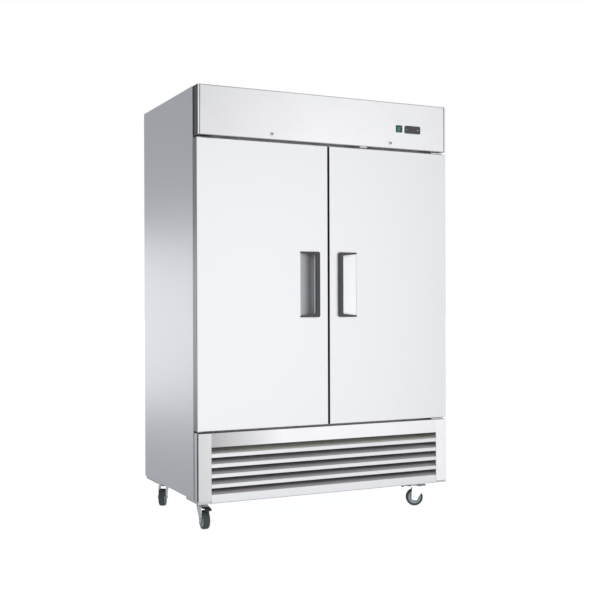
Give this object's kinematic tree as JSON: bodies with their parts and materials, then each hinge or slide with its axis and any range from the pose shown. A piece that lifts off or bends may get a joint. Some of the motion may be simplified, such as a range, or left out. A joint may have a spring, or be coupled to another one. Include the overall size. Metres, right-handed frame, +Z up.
{
  "type": "reach-in refrigerator",
  "caption": "Tall two-door stainless reach-in refrigerator with recessed pulls, control header, louvred machine cover and swivel casters.",
  "frame": {"origin": "on the floor under the centre of the cabinet's footprint", "axes": "+Z up, doors face -Y, +X to the right when facing the doors"},
  "size_m": [1.382, 0.842, 2.098],
  "materials": {
    "cabinet_steel": "satin",
    "galvanised_steel": "spangled",
    "liner_steel": "satin",
    "foam": "matte",
    "front_steel": "fine brushed",
    "louvre_steel": "fine brushed",
    "handle_steel": "satin",
    "black_plastic": "semi gloss",
    "smoked_window": "gloss",
    "key_rubber": "matte",
    "rocker_green": "gloss",
    "lock_chrome": "polished",
    "hinge_steel": "plated",
    "nylon": "matte",
    "door_lining": "semi gloss",
    "gasket_rubber": "matte",
    "shelf_wire": "epoxy coated",
    "standard_steel": "satin",
    "coil_aluminium": "mill",
    "motor_black": "semi gloss",
    "fan_plastic": "matte",
    "lamp_lens": "translucent white",
    "copper": "copper tube",
    "pan_plastic": "matte",
    "caster_zinc": "zinc plated",
    "wheel_rubber": "matte",
    "pedal_black": "matte"
  },
  "bodies": {
    "cabinet": {"side_panel_left": "cabinet_steel", "side_panel_right": "cabinet_steel", "top_panel": "galvanised_steel", "back_panel": "galvanised_steel", "inner_liner": "liner_steel", "foam_insulation": "foam", "center_mullion": "liner_steel", "header_housing": "galvanised_steel", "header_fascia": "front_steel", "control_bezels": "black_plastic", "controller_window": "smoked_window", "lock_barrels": "lock_chrome", "hinge_brackets": "hinge_steel", "hinge_bushes": "nylon", "shelf_standards": "standard_steel", "wire_shelves": "shelf_wire", "evaporator_cover": "liner_steel", "evaporator_coil": "coil_aluminium", "fan_motors": "motor_black", "interior_lamp": "lamp_lens", "base_frame": "galvanised_steel", "compressor": "motor_black", "condenser_coil": "coil_aluminium", "refrigerant_pipes": "copper", "condensate_pan": "pan_plastic", "electrical_box": "pan_plastic", "louvre_grille": "louvre_steel", "grille_frame": "front_steel", "fasteners": "hinge_steel", "caster_plates": "caster_zinc"},
    "door_left": {"door_left_outer_skin": "front_steel", "door_left_foam_core": "foam", "door_left_inner_panel": "door_lining", "door_left_gasket": "gasket_rubber", "door_left_handle_pan": "handle_steel", "door_left_handle_trim": "black_plastic"},
    "door_right": {"door_right_outer_skin": "front_steel", "door_right_foam_core": "foam", "door_right_inner_panel": "door_lining", "door_right_gasket": "gasket_rubber", "door_right_handle_pan": "handle_steel", "door_right_handle_trim": "black_plastic"},
    "switch_rocker": {"switch_rocker": "rocker_green"},
    "lock_plug_left": {"lock_plug_left": "lock_chrome"},
    "lock_plug_right": {"lock_plug_right": "lock_chrome"},
    "evaporator_fan": {"evaporator_fan": "fan_plastic"},
    "condenser_fan": {"condenser_fan": "fan_plastic"},
    "key_set": {"key_set": "key_rubber"},
    "key_up": {"key_up": "key_rubber"},
    "key_down": {"key_down": "key_rubber"},
    "caster_front_left_swivel": {"caster_front_left_fork": "caster_zinc"},
    "caster_front_left_roller": {"caster_front_left_wheel": "wheel_rubber"},
    "caster_front_right_swivel": {"caster_front_right_fork": "caster_zinc"},
    "caster_front_right_roller": {"caster_front_right_wheel": "wheel_rubber"},
    "caster_rear_left_swivel": {"caster_rear_left_fork": "caster_zinc"},
    "caster_rear_left_roller": {"caster_rear_left_wheel": "wheel_rubber"},
    "caster_rear_right_swivel": {"caster_rear_right_fork": "caster_zinc"},
    "caster_rear_right_roller": {"caster_rear_right_wheel": "wheel_rubber"},
    "brake_front_left": {"brake_lever_front_left": "pedal_black"},
    "brake_front_right": {"brake_lever_front_right": "pedal_black"}
  },
  "joints": [
    {"name": "door_left_hinge", "type": "hinge", "parent": "cabinet", "child": "door_left", "pos_m": [-0.673, -0.385, 0.475], "axis": [0, 0, -1], "range_deg": [0, 115], "stiffness_Nm_per_rad": 1.2},
    {"name": "door_right_hinge", "type": "hinge", "parent": "cabinet", "child": "door_right", "pos_m": [0.673, -0.385, 0.475], "axis": [0, 0, 1], "range_deg": [0, 115], "stiffness_Nm_per_rad": 1.2},
    {"name": "switch_rock", "type": "hinge", "parent": "cabinet", "child": "switch_rocker", "pos_m": [0.404, -0.406, 1.965], "axis": [1, 0, 0], "range_deg": [-20, 0]},
    {"name": "lock_left_turn", "type": "hinge", "parent": "cabinet", "child": "lock_plug_left", "pos_m": [-0.31, -0.414, 1.889], "axis": [0, 1, 0], "range_deg": [0, 90]},
    {"name": "lock_right_turn", "type": "hinge", "parent": "cabinet", "child": "lock_plug_right", "pos_m": [0.352, -0.414, 1.889], "axis": [0, 1, 0], "range_deg": [0, 90]},
    {"name": "key_set_press", "type": "slide", "parent": "cabinet", "child": "key_set", "axis": [0, 1, 0], "range_m": [0, 0.001], "stiffness_N_per_m": 600, "springref_m": -0.0005},
    {"name": "key_up_press", "type": "slide", "parent": "cabinet", "child": "key_up", "axis": [0, 1, 0], "range_m": [0, 0.001], "stiffness_N_per_m": 600, "springref_m": -0.0005},
    {"name": "key_down_press", "type": "slide", "parent": "cabinet", "child": "key_down", "axis": [0, 1, 0], "range_m": [0, 0.001], "stiffness_N_per_m": 600, "springref_m": -0.0005},
    {"name": "evaporator_fan_spin", "type": "hinge", "parent": "cabinet", "child": "evaporator_fan", "pos_m": [0, -0.19, 1.936], "axis": [0, 1, 0], "continuous": true},
    {"name": "condenser_fan_spin", "type": "hinge", "parent": "cabinet", "child": "condenser_fan", "pos_m": [-0.33, -0.17, 0.3], "axis": [0, 1, 0], "continuous": true},
    {"name": "caster_front_left_turn", "type": "hinge", "parent": "cabinet", "child": "caster_front_left_swivel", "pos_m": [-0.622, -0.28, 0.112], "axis": [0, 0, 1], "continuous": true},
    {"name": "wheel_front_left_roll", "type": "hinge", "parent": "caster_front_left_swivel", "child": "caster_front_left_roller", "pos_m": [-0.62383, -0.31495, 0.045], "axis": [0.9986, -0.0523, 0], "continuous": true},
    {"name": "brake_front_left_press", "type": "hinge", "parent": "caster_front_left_swivel", "child": "brake_front_left", "pos_m": [-0.62472, -0.33193, 0.104], "axis": [0.9986, -0.0523, 0], "range_deg": [0, 14]},
    {"name": "caster_front_right_turn", "type": "hinge", "parent": "cabinet", "child": "caster_front_right_swivel", "pos_m": [0.604, -0.295, 0.112], "axis": [0, 0, 1], "continuous": true},
    {"name": "wheel_front_right_roll", "type": "hinge", "parent": "caster_front_right_swivel", "child": "caster_front_right_roller", "pos_m": [0.57254, -0.27966, 0.045], "axis": [-0.4384, -0.8988, 0], "continuous": true},
    {"name": "brake_front_right_press", "type": "hinge", "parent": "caster_front_right_swivel", "child": "brake_front_right", "pos_m": [0.55726, -0.2722, 0.104], "axis": [-0.4384, -0.8988, 0], "range_deg": [0, 14]},
    {"name": "caster_rear_left_turn", "type": "hinge", "parent": "cabinet", "child": "caster_rear_left_swivel", "pos_m": [-0.611, 0.338, 0.112], "axis": [0, 0, 1], "continuous": true},
    {"name": "wheel_rear_left_roll", "type": "hinge", "parent": "caster_rear_left_swivel", "child": "caster_rear_left_roller", "pos_m": [-0.6285, 0.30769, 0.045], "axis": [0.866, -0.5, 0], "continuous": true},
    {"name": "caster_rear_right_turn", "type": "hinge", "parent": "cabinet", "child": "caster_rear_right_swivel", "pos_m": [0.611, 0.338, 0.112], "axis": [0, 0, 1], "continuous": true},
    {"name": "wheel_rear_right_roll", "type": "hinge", "parent": "caster_rear_right_swivel", "child": "caster_rear_right_roller", "pos_m": [0.58233, 0.31792, 0.045], "axis": [0.5736, -0.8192, 0], "continuous": true}
  ]
}
